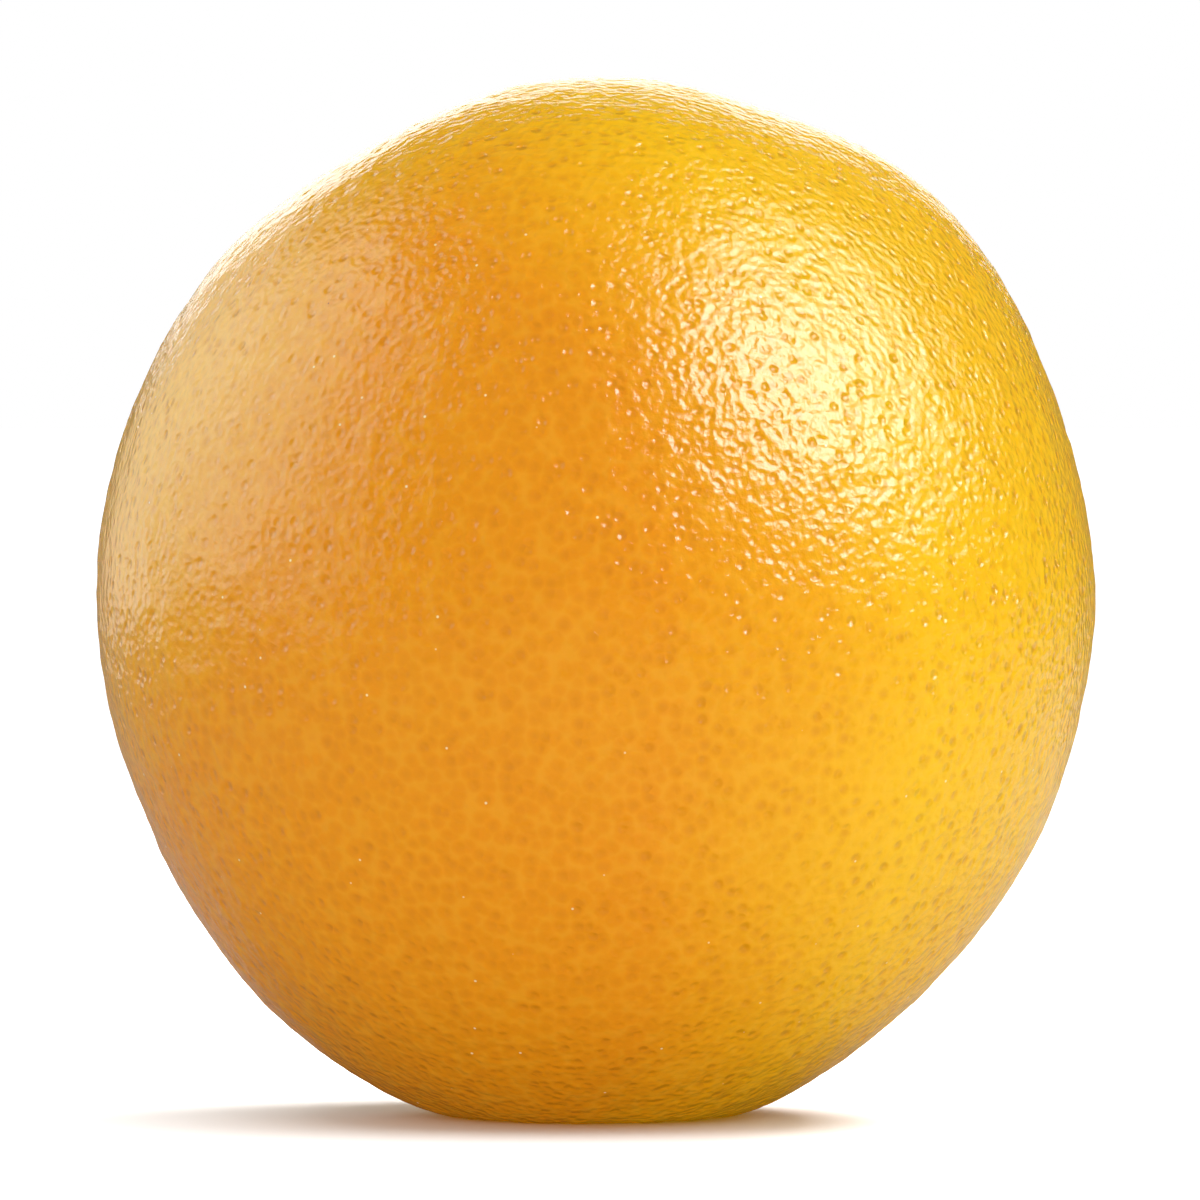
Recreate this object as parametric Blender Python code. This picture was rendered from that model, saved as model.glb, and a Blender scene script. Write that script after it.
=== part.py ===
# Orange: one whole fresh fruit, standing on its stem end.
# Units are metres, +Z is up, and the origin is at the middle of the spot it rests on.
# The skin is an ellipsoid that narrows towards the stem end, with a few broad swellings,
# a flat ring to rest on, and a shallow dimple with radial furrows inside and across the ring.

import math

import bmesh
import bpy
from mathutils import Vector

# Main sizes
WIDTH = 0.078            # along X
DEPTH = 0.0775           # along Y
CROWN_RISE = 0.0415      # from the widest level up to the crown
WIDEST_LEVEL = 0.0395    # from the resting surface up to the widest level
STEM_END_TAPER = 0.053   # share of the width lost towards the stem end

# Broad swellings of the skin: bearing from +X towards +Y and angle above level, in degrees,
# then the height in metres (a hollow is negative) and the angle at which it has run out
SWELLINGS = {
    "right_shoulder": (0, 49, 0.0012, 28),
    "right_dip": (0, 68, -0.0004, 14),
    "left_flat": (180, 63, -0.0010, 22),
    "left_heel": (180, -52, 0.0004, 30),
    "right_heel": (0, -52, -0.0004, 24),
    "front_hollow": (-62, 30, -0.0003, 34),
    "back_shoulder": (105, 44, 0.0006, 36),
    "back_flat": (62, -24, -0.0005, 40),
    "back_heel": (130, -50, 0.0003, 34),
}

# Stem end
REST_ROUNDING = 0.0006   # height over which the skin rounds off into the flat ring
DIMPLE_RADIUS = 0.0068
DIMPLE_DEPTH = 0.0022
BUTTON_RADIUS = 0.0024   # round scar that the stalk left, in the dimple
BUTTON_RISE = 0.0007
FURROW_START = 0.0025    # distance from the axis where a furrow begins
FURROW_PEAK = 0.0090     # where it is deepest
FURROW_END = 0.0200      # where it has run out
FURROW_HALF_WIDTH = 0.0017
# bearing of each furrow in degrees, and its depth
FURROWS = {-82: 0.0007, -33: 0.0004, 12: 0.0005, 64: 0.0006, 118: 0.0004, 171: 0.0006, 214: 0.0004}

# Mesh
SEGMENTS = 84            # round the axis
RINGS = 46               # from pole to pole
POLE_CROWDING = 0.5      # 0 spaces the rings evenly, 1 crowds them into the poles

# Finish
SKIN_COLOUR = (0.83, 0.30, 0.015, 1.0)
SKIN_ROUGHNESS = 0.38


def clear_scene():
    for thing in list(bpy.data.objects):
        bpy.data.objects.remove(thing, do_unlink=True)


def bearing_vector(bearing, rise):
    bearing = math.radians(bearing)
    rise = math.radians(rise)
    return Vector((math.cos(rise) * math.cos(bearing), math.cos(rise) * math.sin(bearing), math.sin(rise)))


def mound(distance):
    # 1 at the middle, 0 with no slope from a distance of 1 outwards
    return max(0.0, 1.0 - distance * distance) ** 2


def crowd_to_poles(way):
    # turns a unit vector along its meridian, so that the rings lie closer at both poles
    polar = math.acos(max(-1.0, min(1.0, way.z)))
    polar -= POLE_CROWDING * math.sin(2 * polar) / 2
    level = Vector((way.x, way.y, 0))
    if level.length > 0:
        level.normalize()
    return Vector((level.x * math.sin(polar), level.y * math.sin(polar), math.cos(polar)))


def body_point(way):
    # plain egg-like body, widest at WIDEST_LEVEL
    taper = 1 + STEM_END_TAPER * min(0.0, way.z)
    point = Vector((way.x * WIDTH / 2 * taper, way.y * DEPTH / 2 * taper, way.z * CROWN_RISE))
    for bearing, rise, height, spread in SWELLINGS.values():
        apart = way.angle(bearing_vector(bearing, rise))
        point += way * height * mound(apart / math.radians(spread))
    return point + Vector((0, 0, WIDEST_LEVEL))


def stem_end_depth(point):
    # how far the skin lies inside the flat base: the dimple, its button and the furrows
    from_axis = math.hypot(point.x, point.y)
    depth = DIMPLE_DEPTH * mound(from_axis / DIMPLE_RADIUS)
    depth -= BUTTON_RISE * mound(from_axis / BUTTON_RADIUS)
    if from_axis < FURROW_PEAK:
        along = (FURROW_PEAK - from_axis) / (FURROW_PEAK - FURROW_START)
    else:
        along = (from_axis - FURROW_PEAK) / (FURROW_END - FURROW_PEAK)
    for bearing, furrow_depth in FURROWS.items():
        turn = math.atan2(point.y, point.x) - math.radians(bearing)
        if math.cos(turn) > 0:
            across = from_axis * math.sin(turn) / FURROW_HALF_WIDTH
            depth += furrow_depth * mound(along) * mound(across)
    return depth


def rest_level(height):
    # presses whatever would lie below the resting surface flat, with a soft corner round it
    if abs(height) < REST_ROUNDING:
        return (height + REST_ROUNDING) ** 2 / (4 * REST_ROUNDING)
    return max(0.0, height)


def skin_point(way):
    point = body_point(way)
    point.z = rest_level(point.z)
    if way.z < 0:
        point -= way * stem_end_depth(point)
    return point


def skin_material():
    material = bpy.data.materials.new("orange_peel")
    material.use_nodes = True
    shader = material.node_tree.nodes["Principled BSDF"]
    shader.inputs["Base Color"].default_value = SKIN_COLOUR
    shader.inputs["Roughness"].default_value = SKIN_ROUGHNESS
    shader.inputs["Metallic"].default_value = 0.0
    return material


def make_orange(collection):
    shape = bmesh.new()
    bmesh.ops.create_uvsphere(shape, u_segments=SEGMENTS, v_segments=RINGS, radius=1.0)
    for vertex in shape.verts:
        vertex.co = skin_point(crowd_to_poles(vertex.co.normalized()))
    bmesh.ops.recalc_face_normals(shape, faces=shape.faces)
    mesh = bpy.data.meshes.new("orange")
    shape.to_mesh(mesh)
    shape.free()
    mesh.shade_smooth()
    mesh.materials.append(skin_material())
    orange = bpy.data.objects.new("orange", mesh)
    collection.objects.link(orange)
    return orange


def main():
    clear_scene()
    collection = bpy.data.collections.new("orange_fruit")
    bpy.context.scene.collection.children.link(collection)
    make_orange(collection)


main()
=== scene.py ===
# The looks of the orange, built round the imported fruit. Metres, +Z up, -Y is the front.
import math

import bpy
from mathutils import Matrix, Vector


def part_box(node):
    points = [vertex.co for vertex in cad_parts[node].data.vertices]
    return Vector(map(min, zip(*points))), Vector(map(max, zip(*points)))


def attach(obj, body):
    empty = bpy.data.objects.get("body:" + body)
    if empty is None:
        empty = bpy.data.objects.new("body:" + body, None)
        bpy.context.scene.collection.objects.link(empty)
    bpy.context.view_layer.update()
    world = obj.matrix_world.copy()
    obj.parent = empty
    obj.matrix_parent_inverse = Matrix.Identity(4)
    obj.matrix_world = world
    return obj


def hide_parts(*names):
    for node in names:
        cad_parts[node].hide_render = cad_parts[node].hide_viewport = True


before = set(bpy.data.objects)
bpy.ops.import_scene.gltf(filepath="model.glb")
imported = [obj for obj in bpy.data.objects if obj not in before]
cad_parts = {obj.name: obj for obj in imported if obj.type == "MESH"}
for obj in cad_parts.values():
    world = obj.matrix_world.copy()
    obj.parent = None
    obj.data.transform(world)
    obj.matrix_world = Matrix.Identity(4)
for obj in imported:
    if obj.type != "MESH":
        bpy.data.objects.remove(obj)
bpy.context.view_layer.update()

fruitLow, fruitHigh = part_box("orange")
fruitMiddle = (fruitLow + fruitHigh) / 2
fruitSize = fruitHigh - fruitLow
print("frame loaded, fruit", [round(side * 1000, 1) for side in fruitSize], "mm")


millimetre = 0.001


def linearColour(hexColour):
    # sRGB hex to the linear values that the shader wants
    channels = [int(hexColour[place:place + 2], 16) / 255 for place in (1, 3, 5)]
    linear = [c / 12.92 if c <= 0.04045 else ((c + 0.055) / 1.055) ** 2.4 for c in channels]
    return (*linear, 1.0)


def grey(level):
    return (level, level, level, 1.0)


def addNode(tree, kind, settings=None, links=None):
    # settings: a number picks an input socket, a word a property of the node or an input by its name
    node = tree.nodes.new(kind)
    for name, value in (settings or {}).items():
        if isinstance(name, int) or name in node.inputs:
            node.inputs[name].default_value = value
        else:
            setattr(node, name, value)
    for name, socket in (links or {}).items():
        tree.links.new(socket, node.inputs[name])
    return node


def perMillimetre(size):
    # texture scale for a pattern whose cells are that many millimetres across
    return 1000 / size


def activate(thing):
    bpy.ops.object.select_all(action="DESELECT")
    thing.select_set(True)
    bpy.context.view_layer.objects.active = thing


def applyModifier(thing, kind, **settings):
    activate(thing)
    modifier = thing.modifiers.new(kind.title(), kind)
    for name, value in settings.items():
        setattr(modifier, name, value)
    bpy.ops.object.modifier_apply(modifier=modifier.name)


bodyShape = {
    "roundings": 7,             # each halves the faces of a cube and rounds it: 128 faces along a side
    "guideLevels": 2,           # how finely the smooth guide is divided
    "relaxSteps": 12,           # evens out the guide's facets
    "relaxStrength": 0.5,
    "mergeWithin": 0.000002,    # metres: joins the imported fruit's loose triangles
    "quadFaceAngle": 30,        # degrees, how bent a pair of its triangles may be to count as one face
    "quadShapeAngle": 60,       # degrees, how far that face may be from square
}

# soft unevenness of the skin, from broad to fine: cell size and height in millimetres
skinRelief = {
    "lobes": ("CLOUDS", 16.0, 0.35),
    "lumps": ("CLOUDS", 6.0, 0.16),
    "pebbles": ("VORONOI", 2.3, 0.14),
    "dimples": ("VORONOI", 1.3, 0.08),
}


def makeGuide():
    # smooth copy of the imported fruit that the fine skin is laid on
    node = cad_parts["orange"]
    guide = node.copy()
    guide.data = node.data.copy()
    guide.name = "skinGuide"
    guide.parent = None
    bpy.context.scene.collection.objects.link(guide)
    activate(guide)
    bpy.ops.object.mode_set(mode="EDIT")
    bpy.ops.mesh.select_all(action="SELECT")
    bpy.ops.mesh.remove_doubles(threshold=bodyShape["mergeWithin"])
    bpy.ops.mesh.tris_convert_to_quads(face_threshold=math.radians(bodyShape["quadFaceAngle"]),
                                       shape_threshold=math.radians(bodyShape["quadShapeAngle"]))
    bpy.ops.object.mode_set(mode="OBJECT")
    levels = bodyShape["guideLevels"]
    applyModifier(guide, "SUBSURF", levels=levels, render_levels=levels)
    return guide


def makeSkin(guide):
    bpy.ops.object.select_all(action="DESELECT")
    bpy.ops.mesh.primitive_cube_add(size=fruitSize.z, location=fruitMiddle)
    skin = bpy.context.object
    skin.name = "orangeSkin"
    bpy.ops.object.mode_set(mode="EDIT")
    for _ in range(bodyShape["roundings"]):
        bpy.ops.mesh.select_all(action="SELECT")
        bpy.ops.mesh.subdivide(number_cuts=1)
        bpy.ops.transform.tosphere(value=1.0)
    bpy.ops.object.mode_set(mode="OBJECT")
    bpy.ops.object.transform_apply(location=True, rotation=True, scale=True)
    applyModifier(skin, "SHRINKWRAP", target=guide, wrap_method="NEAREST_SURFACEPOINT")
    applyModifier(skin, "SMOOTH", factor=bodyShape["relaxStrength"], iterations=bodyShape["relaxSteps"])
    bpy.data.objects.remove(guide)
    return skin


def roughenSkin(skin):
    for name, (pattern, cell, height) in skinRelief.items():
        texture = bpy.data.textures.new(name, pattern)
        texture.noise_scale = cell / 1000
        if pattern == "CLOUDS":
            texture.noise_depth = 1
        applyModifier(skin, "DISPLACE", texture=texture, texture_coords="LOCAL", direction="NORMAL",
                      strength=height / 1000, mid_level=0.5)
    for vertex in skin.data.vertices:
        vertex.co.z = max(fruitLow.z, vertex.co.z)      # nothing bulges below the resting surface
    activate(skin)
    bpy.ops.object.shade_smooth()


# lengths in millimetres
peelFinish = {
    "deepOrange": "#E88F0A",
    # yellow of the random patches, and of the lit side, where it is painted light
    "yellowTintAndLitSide": "#F2BA03",
    # yellower towards the lit right and top: partly the skin's own tint, partly painted light of the lit
    # side; back towards orange behind and near the base
    "litSidesYellowing": (                    # which way, where the yellow begins and ends, and how strong
        ((0.66, 0.72, 0.10), -20, 0, 1.0),
        ((-0.90, -0.10, 0.42), 41, 55, 0.55),
        ((0.00, 1.00, 0.00), 4, 34, -0.80),     # less than none: back to orange behind and below
        ((0.00, 0.00, -1.00), -22, 0, -0.5),
    ),
    "patchSize": 22,
    "patchiness": 0.5,
    "glandSpacing": 1.05,
    "glandScatter": 0.9,                # 0 is a grid, 1 is fully irregular
    "glandRadius": 0.66,                # dots come out smaller, as cell middles lie off the surface
    "glandCore": 0.08,                  # full strength within this many gland spacings
    "glandOrange": "#CC7812",
    "glandStrength": 0.36,
    "paleNetwork": "#FBC338",
    "networkFrom": 0.45,                # in gland spacings from a gland's middle
    "networkTo": 0.85,
    "networkStrength": 0.14,
    "pitRadius": 0.50,
    "pitDepth": 0.18,
    "pitFloor": 0.04,                   # flat within this many gland spacings
    "pebbleSize": 0.62,
    "pebbleHeight": 0.16,
    "grainSize": 0.26,
    "grainHeight": 0.042,
    "calmLeft": 0.6,                    # relief there, against 1 on the right
    "calmEnds": (0.6, 0.3),             # where it stops being calm left and is full right, in half widths
    "specks": (                         # colour, spacing and radius: dry skin, and rarer dark ones
        ("#FFE9B0", 2.6, 0.13),
        ("#7A3410", 9.0, 0.12),
    ),
    "speckStrength": 0.8,
    "scars": (                          # where, how far it reaches, and its colour: stem end, then crown
        ((0, 0, 2.5), 2.9, "#8A7A44"),
        ((0, 0, 81.0), 1.1, "#A8742C"),
    ),
    "roughness": 0.20,
    "ior": 1.56,
    "glowWeight": 0.6,                  # light spreads under the skin
    "glowDepth": (1.2, 0.5, 0.12),
}


def makePeelMaterial():
    # waxed citrus peel: a thin glossy wax film over a skin dotted with darker oil glands
    finish = peelFinish
    material = bpy.data.materials.new("waxedOrangePeel")
    material.use_nodes = True
    tree = material.node_tree
    shader = tree.nodes["Principled BSDF"]
    shader.inputs["IOR"].default_value = finish["ior"]
    shader.inputs["Roughness"].default_value = finish["roughness"]
    shader.subsurface_method = "BURLEY"
    shader.inputs["Subsurface Weight"].default_value = finish["glowWeight"]
    shader.inputs["Subsurface Radius"].default_value = finish["glowDepth"]
    shader.inputs["Subsurface Scale"].default_value = millimetre
    place = addNode(tree, "ShaderNodeTexCoord").outputs["Object"]

    # ground colour: deep orange, yellower in soft random patches and towards the lit right and top, the
    # latter partly the skin's own tint and partly painted light
    noise = addNode(tree, "ShaderNodeTexNoise",
                    {"Scale": perMillimetre(finish["patchSize"]), "Detail": 2.0}, {"Vector": place})
    patchiness = finish["patchiness"]
    patches = addNode(tree, "ShaderNodeMath",
                      {"operation": "MULTIPLY_ADD", 1: patchiness, 2: -patchiness / 2},
                      {0: noise.outputs["Fac"]})
    yellowShare = patches.outputs["Value"]
    # the side gradients paint the lit side's yellow into the colour, partly over a real tint
    for way, begins, ends, most in finish["litSidesYellowing"]:
        along = addNode(tree, "ShaderNodeVectorMath",
                        {"operation": "DOT_PRODUCT", 1: way}, {0: place})
        side = addNode(tree, "ShaderNodeMapRange",
                       {"From Min": begins / 1000, "From Max": ends / 1000, "To Max": most},
                       {"Value": along.outputs["Value"]})
        both = addNode(tree, "ShaderNodeMath", {"operation": "ADD"},
                       {0: side.outputs["Result"], 1: yellowShare})
        yellowShare = both.outputs["Value"]
    ground = addNode(tree, "ShaderNodeMix",
                     {"data_type": "RGBA", 6: linearColour(finish["deepOrange"]),
                      7: linearColour(finish["yellowTintAndLitSide"])}, {0: yellowShare})

    # oil glands: soft round dots, some darker than others, in a paler network
    glandCell = finish["glandSpacing"]
    glands = addNode(tree, "ShaderNodeTexVoronoi",
                     {"Scale": perMillimetre(glandCell), "Randomness": finish["glandScatter"]},
                     {"Vector": place})
    chance = addNode(tree, "ShaderNodeSeparateColor", {}, {"Color": glands.outputs["Color"]})
    dotEdge = finish["glandRadius"] / glandCell
    dot = addNode(tree, "ShaderNodeMapRange",
                  {"interpolation_type": "SMOOTHSTEP", "From Min": dotEdge,
                   "From Max": finish["glandCore"], "To Max": finish["glandStrength"]},
                  {"Value": glands.outputs["Distance"]})
    dotShare = addNode(tree, "ShaderNodeMath", {"operation": "MULTIPLY"},
                       {0: dot.outputs["Result"], 1: chance.outputs["Red"]})
    dotted = addNode(tree, "ShaderNodeMix",
                     {"data_type": "RGBA", 7: linearColour(finish["glandOrange"])},
                     {0: dotShare.outputs["Value"], 6: ground.outputs[2]})
    network = addNode(tree, "ShaderNodeMapRange",
                      {"interpolation_type": "SMOOTHSTEP", "From Min": finish["networkFrom"],
                       "From Max": finish["networkTo"], "To Max": finish["networkStrength"]},
                      {"Value": glands.outputs["Distance"]})
    netted = addNode(tree, "ShaderNodeMix",
                     {"data_type": "RGBA", 7: linearColour(finish["paleNetwork"])},
                     {0: network.outputs["Result"], 6: dotted.outputs[2]})

    # few tiny cream specks of dry skin, and fewer dark ones
    skinColour = netted.outputs[2]
    for colour, spacing, radius in finish["specks"]:
        cells = addNode(tree, "ShaderNodeTexVoronoi", {"Scale": perMillimetre(spacing)}, {"Vector": place})
        speck = addNode(tree, "ShaderNodeMapRange",
                        {"From Min": radius / spacing, "From Max": radius / spacing / 2,
                         "To Max": finish["speckStrength"]}, {"Value": cells.outputs["Distance"]})
        speckled = addNode(tree, "ShaderNodeMix", {"data_type": "RGBA", 7: linearColour(colour)},
                           {0: speck.outputs["Result"], 6: skinColour})
        skinColour = speckled.outputs[2]

    # dry brownish scar where the stem broke off, and a tiny one at the crown
    for centre, radius, colour in finish["scars"]:
        middle = [side / 1000 for side in centre]
        reach = radius / 1000
        fromScar = addNode(tree, "ShaderNodeVectorMath",
                           {"operation": "DISTANCE", 1: middle}, {0: place})
        edge = addNode(tree, "ShaderNodeMapRange",
                       {"interpolation_type": "SMOOTHSTEP", "From Min": reach, "From Max": reach / 1.5},
                       {"Value": fromScar.outputs["Value"]})
        scarred = addNode(tree, "ShaderNodeMix", {"data_type": "RGBA", 7: linearColour(colour)},
                          {0: edge.outputs["Result"], 6: skinColour})
        skinColour = scarred.outputs[2]
    tree.links.new(skinColour, shader.inputs["Base Color"])

    # relief too fine for the mesh, in millimetres: pebbles, a pit over each gland, the grain of the wax
    pebbles = addNode(tree, "ShaderNodeTexNoise",
                      {"Scale": perMillimetre(finish["pebbleSize"]), "Detail": 0.0}, {"Vector": place})
    grain = addNode(tree, "ShaderNodeTexNoise",
                    {"Scale": perMillimetre(finish["grainSize"]), "Detail": 2.0}, {"Vector": place})
    pitEdge = finish["pitRadius"] / glandCell
    pit = addNode(tree, "ShaderNodeMapRange",
                  {"interpolation_type": "SMOOTHSTEP", "From Min": pitEdge,
                   "From Max": finish["pitFloor"], "To Max": -finish["pitDepth"]},
                  {"Value": glands.outputs["Distance"]})
    pitHeight = addNode(tree, "ShaderNodeMath", {"operation": "MULTIPLY"},
                        {0: pit.outputs["Result"], 1: chance.outputs["Green"]})
    pebbled = addNode(tree, "ShaderNodeMath", {"operation": "MULTIPLY_ADD", 1: finish["pebbleHeight"]},
                      {0: pebbles.outputs["Fac"], 2: pitHeight.outputs["Value"]})
    grained = addNode(tree, "ShaderNodeMath", {"operation": "MULTIPLY_ADD", 1: finish["grainHeight"]},
                      {0: grain.outputs["Fac"], 2: pebbled.outputs["Value"]})
    across = addNode(tree, "ShaderNodeSeparateXYZ", {}, {"Vector": place})
    calmUntil, fullFrom = finish["calmEnds"]
    calm = addNode(tree, "ShaderNodeMapRange",
                   {"From Min": fruitLow.x * calmUntil, "From Max": fruitHigh.x * fullFrom,
                    "To Min": finish["calmLeft"]}, {"Value": across.outputs["X"]})
    calmed = addNode(tree, "ShaderNodeMath", {"operation": "MULTIPLY"},
                     {0: grained.outputs["Value"], 1: calm.outputs["Result"]})
    bump = addNode(tree, "ShaderNodeBump", {"Distance": millimetre}, {"Height": calmed.outputs["Value"]})
    tree.links.new(bump.outputs["Normal"], shader.inputs["Normal"])
    return material


studio = {
    "distance": 0.90,           # camera to fruit
    "frameWidth": 0.0935,       # what the view takes in at the fruit
    "aimShift": (0.00035, 0, -0.00027),
    "rise": 1.0,                # degrees above level
    "backdrop": 1.0,
    "ambient": 0.38,
    "ambientInGloss": 0.10,
    "floorShade": 0.8,
    "floorSize": 40,
    "floorSun": 3.6,            # lights the floor alone
    "floorSunSpread": 70,       # degrees, for a faint soft shadow
    "floorInGloss": 0.10,       # its shade as the peel mirrors it
    "floorBounce": 0.20,        # its shade for the light it throws back up
}

# each light: where it stands from the fruit's middle, what it faces if not the fruit, its width and
# height, its brightness, its tint, what it is kept out of, and what alone it lights
lights = {
    "keySoftbox": {"at": (0.35, -0.085, 0.345), "size": (0.50, 0.56), "shape": "ELLIPSE", "radiance": 1.75},
    "keyCore": {"at": (0.32, -0.19, 0.315), "size": (0.32, 0.32), "shape": "ELLIPSE", "radiance": 4.7,
                "leaveOut": ("diffuse",)},
    "leftPanel": {"at": (-0.50, 0.08, 0.44), "facing": (1, 0, 0), "size": (0.96, 0.96), "radiance": 0.62,
                  "tint": (0.78, 1.0, 0.98)},
    "leftHot": {"at": (-0.43, 0.04, 0.25), "size": (0.44, 0.54), "shape": "ELLIPSE", "radiance": 0.7,
                "tint": (0.78, 1.0, 0.98), "leaveOut": ("diffuse",)},
    "leftBack": {"at": (-0.40, 0.42, 0.15), "size": (0.40, 0.44), "radiance": 0.6},
    "backRim": {"at": (-0.04, 0.72, 0.25), "size": (0.52, 0.28), "radiance": 1.8},
    "frontFill": {"at": (-0.10, -0.90, 0.05), "size": (0.60, 0.60), "radiance": 1.8,
                  "leaveOut": ("glossy",)},
    "topFill": {"at": (-0.20, -0.60, 0.60), "size": (0.60, 0.60), "radiance": 0.45,
                "leaveOut": ("glossy",)},
    "underFill": {"at": (0.10, -0.32, -0.58), "size": (0.50, 0.50), "radiance": 2.3,
                  "leaveOut": ("glossy",)},
    "floorPool": {"at": (0.13, 0.15, 0.16), "facing": (0, 0, -1), "size": (0.18, 0.18), "radiance": 18.0,
                  "only": "onlyFloor"},
}


def makeFloor():
    bpy.ops.mesh.primitive_plane_add(size=studio["floorSize"], location=(0, 0, fruitLow.z))
    floor = bpy.context.object
    floor.name = "studioFloor"
    # matt white paper: an even pale ground with no gloss, dimmer for the peel than for the camera
    paper = bpy.data.materials.new("whitePaper")
    paper.use_nodes = True
    tree = paper.node_tree
    tree.nodes.clear()
    ray = addNode(tree, "ShaderNodeLightPath")
    seen = addNode(tree, "ShaderNodeBsdfDiffuse", {"Color": grey(studio["floorShade"])})
    mirrored = addNode(tree, "ShaderNodeBsdfDiffuse", {"Color": grey(studio["floorInGloss"])})
    bounced = addNode(tree, "ShaderNodeBsdfDiffuse", {"Color": grey(studio["floorBounce"])})
    unseen = addNode(tree, "ShaderNodeMixShader", {},
                     {0: ray.outputs["Is Glossy Ray"], 1: bounced.outputs[0], 2: mirrored.outputs[0]})
    mix = addNode(tree, "ShaderNodeMixShader", {},
                  {0: ray.outputs["Is Camera Ray"], 1: unseen.outputs[0], 2: seen.outputs[0]})
    addNode(tree, "ShaderNodeOutputMaterial", {}, {"Surface": mix.outputs[0]})
    floor.data.materials.append(paper)
    floor.visible_shadow = False            # lets the fill below it through
    onlyFloor = bpy.data.collections.new("onlyFloor")
    onlyFloor.objects.link(floor)
    sun = bpy.data.lights.new("floorSun", "SUN")
    sun.energy = studio["floorSun"]
    sun.angle = math.radians(studio["floorSunSpread"])
    overhead = bpy.data.objects.new("floorSun", sun)
    overhead.light_linking.receiver_collection = onlyFloor
    bpy.context.scene.collection.objects.link(overhead)


def makeWorld():
    world = bpy.data.worlds.new("paleRoom")
    bpy.context.scene.world = world
    world.use_nodes = True
    tree = world.node_tree
    tree.nodes.clear()
    ray = addNode(tree, "ShaderNodeLightPath")
    seen = addNode(tree, "ShaderNodeBackground", {"Strength": studio["backdrop"], "Color": grey(1)})
    lit = addNode(tree, "ShaderNodeBackground", {"Strength": studio["ambient"], "Color": grey(1)})
    mirrored = addNode(tree, "ShaderNodeBackground",
                       {"Strength": studio["ambientInGloss"], "Color": grey(1)})
    unseen = addNode(tree, "ShaderNodeMixShader", {},
                     {0: ray.outputs["Is Glossy Ray"], 1: lit.outputs[0], 2: mirrored.outputs[0]})
    mix = addNode(tree, "ShaderNodeMixShader", {},
                  {0: ray.outputs["Is Camera Ray"], 1: unseen.outputs[0], 2: seen.outputs[0]})
    addNode(tree, "ShaderNodeOutputWorld", {}, {"Surface": mix.outputs[0]})


def hangLights():
    for name, light in lights.items():
        lamp = bpy.data.lights.new(name, "AREA")
        lamp.shape = light.get("shape", "RECTANGLE")
        lamp.size, lamp.size_y = light["size"]
        lamp.color = light.get("tint", (1, 1, 1))
        lamp.energy = 4 * lamp.size * lamp.size_y * light["radiance"]     # Cycles divides by 4 areas
        box = bpy.data.objects.new(name, lamp)
        box.location = fruitMiddle + Vector(light["at"])
        facing = Vector(light.get("facing", fruitMiddle - box.location))
        box.rotation_euler = (-facing).to_track_quat("Z", "Y").to_euler()
        box.visible_camera = False
        for rays in light.get("leaveOut", ()):
            setattr(box, "visible_" + rays, False)
        if "only" in light:
            box.light_linking.receiver_collection = bpy.data.collections[light["only"]]
        bpy.context.scene.collection.objects.link(box)


def setUpCamera():
    lens = bpy.data.cameras.new("portraitLens")
    lens.lens = lens.sensor_width * studio["distance"] / studio["frameWidth"]
    lens.clip_start = 0.01
    camera = bpy.data.objects.new("camera", lens)
    rise = math.radians(studio["rise"])
    back = Vector((0, -math.cos(rise), math.sin(rise)))
    camera.location = fruitMiddle + Vector(studio["aimShift"]) + back * studio["distance"]
    camera.rotation_euler = back.to_track_quat("Z", "Y").to_euler()
    bpy.context.scene.collection.objects.link(camera)
    bpy.context.scene.camera = camera
    bpy.context.scene.view_settings.view_transform = "Standard"


skin = makeSkin(makeGuide())
roughenSkin(skin)
print("skin modelled,", len(skin.data.polygons), "faces")
skin.data.materials.append(makePeelMaterial())
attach(skin, "root")
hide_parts("orange")
print("peel finished")
makeFloor()
makeWorld()
hangLights()
setUpCamera()
print("studio set up")
